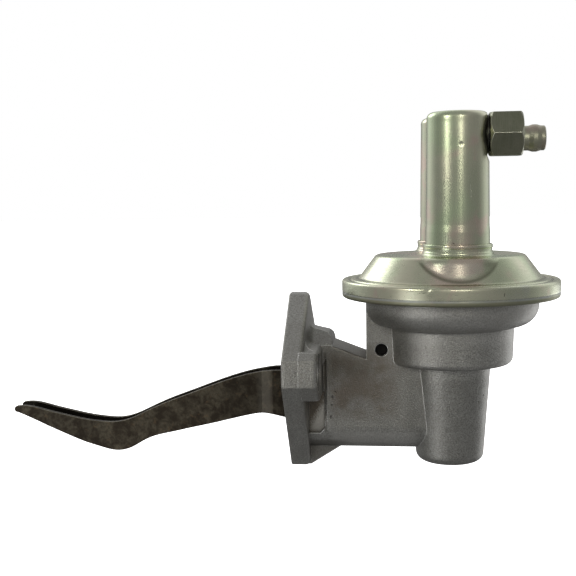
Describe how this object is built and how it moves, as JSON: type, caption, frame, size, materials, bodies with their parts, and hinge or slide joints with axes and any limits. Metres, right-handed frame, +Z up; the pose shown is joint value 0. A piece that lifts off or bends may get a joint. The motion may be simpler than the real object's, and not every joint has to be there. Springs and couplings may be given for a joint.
{
  "type": "mechanical fuel pump",
  "caption": "Flange mounted mechanical fuel pump: cast body, long curved rocker arm, crimped round steel cover, two tall canisters, hex outlet port and beaded hose inlet.",
  "frame": {"origin": "midway between the two bolt holes, on the gasket face of the mounting flange", "axes": "+X square to the gasket face, from the engine towards the pump body; +Z up along the diaphragm axis and the canisters; +Y along the bolt line, away from the side with the hex outlet port"},
  "size_m": [0.2862, 0.1096, 0.1793],
  "materials": {
    "casting": "matt, grit blasted casting",
    "plated_steel": "satin zinc plating with a greenish yellow and pink tint",
    "fitting_steel": "dark olive plated, machined",
    "arm_steel": "dark brown heat treated steel, mottled",
    "bright_steel": "plain satin steel",
    "spring_steel": "drawn wire",
    "black_rubber": "satin",
    "diaphragm_rubber": "fabric backed rubber, matt",
    "cage_brass": "satin",
    "disc_plastic": "matt"
  },
  "bodies": {
    "housing": {"lower_housing": "casting", "top_cover": "plated_steel", "outlet_canister": "plated_steel", "inlet_canister": "plated_steel", "outlet_fitting": "fitting_steel", "outlet_seal_ring": "black_rubber", "inlet_nipple": "plated_steel", "pivot_pin": "bright_steel", "rod_seal": "black_rubber", "seal_retainer": "bright_steel", "inlet_valve_cage": "cage_brass", "inlet_valve_gasket": "black_rubber", "outlet_valve_cage": "cage_brass", "outlet_valve_gasket": "black_rubber", "arm_return_spring": "spring_steel", "inlet_valve_spring": "spring_steel", "outlet_valve_spring": "spring_steel"},
    "rocker": {"rocker_arm": "arm_steel"},
    "link": {"link_lever": "arm_steel", "link_spacers": "bright_steel"},
    "diaphragm_stack": {"pull_rod": "bright_steel", "lower_diaphragm_plate": "bright_steel", "diaphragm": "diaphragm_rubber", "upper_diaphragm_plate": "bright_steel", "rod_nut": "bright_steel", "diaphragm_spring": "spring_steel"},
    "inlet_disc": {"inlet_valve_disc": "disc_plastic"},
    "outlet_disc": {"outlet_valve_disc": "disc_plastic"}
  },
  "joints": [
    {"name": "rocker_hinge", "type": "hinge", "parent": "housing", "child": "rocker", "pos_m": [0.0474, 0, 0.0079], "axis": [0, 1, 0], "range_deg": [0, 6], "stiffness_Nm_per_rad": 2.4, "springref_deg": -20.05, "deforming": ["arm_return_spring"]},
    {"name": "link_hinge", "type": "hinge", "parent": "housing", "child": "link", "pos_m": [0.0474, 0, 0.0079], "axis": [0, 1, 0], "range_deg": [0, 6]},
    {"name": "diaphragm_slide", "type": "slide", "parent": "housing", "child": "diaphragm_stack", "axis": [0, 0, 1], "range_m": [-0.00363, 0], "deforming": ["diaphragm", "diaphragm_spring"]},
    {"name": "inlet_disc_slide", "type": "slide", "parent": "housing", "child": "inlet_disc", "axis": [0, 0, 1], "range_m": [-0.0012, 0], "stiffness_N_per_m": 60, "springref_m": 0.001, "deforming": ["inlet_valve_spring"]},
    {"name": "outlet_disc_slide", "type": "slide", "parent": "housing", "child": "outlet_disc", "axis": [0, 0, 1], "range_m": [0, 0.0012], "stiffness_N_per_m": 60, "springref_m": -0.001, "deforming": ["outlet_valve_spring"]}
  ],
  "couplings": [
    {"joint": "link_hinge", "follows": "rocker_hinge", "ratio": 1},
    {"joint": "diaphragm_slide", "follows": "rocker_hinge", "m_per_rad": -0.0346}
  ]
}
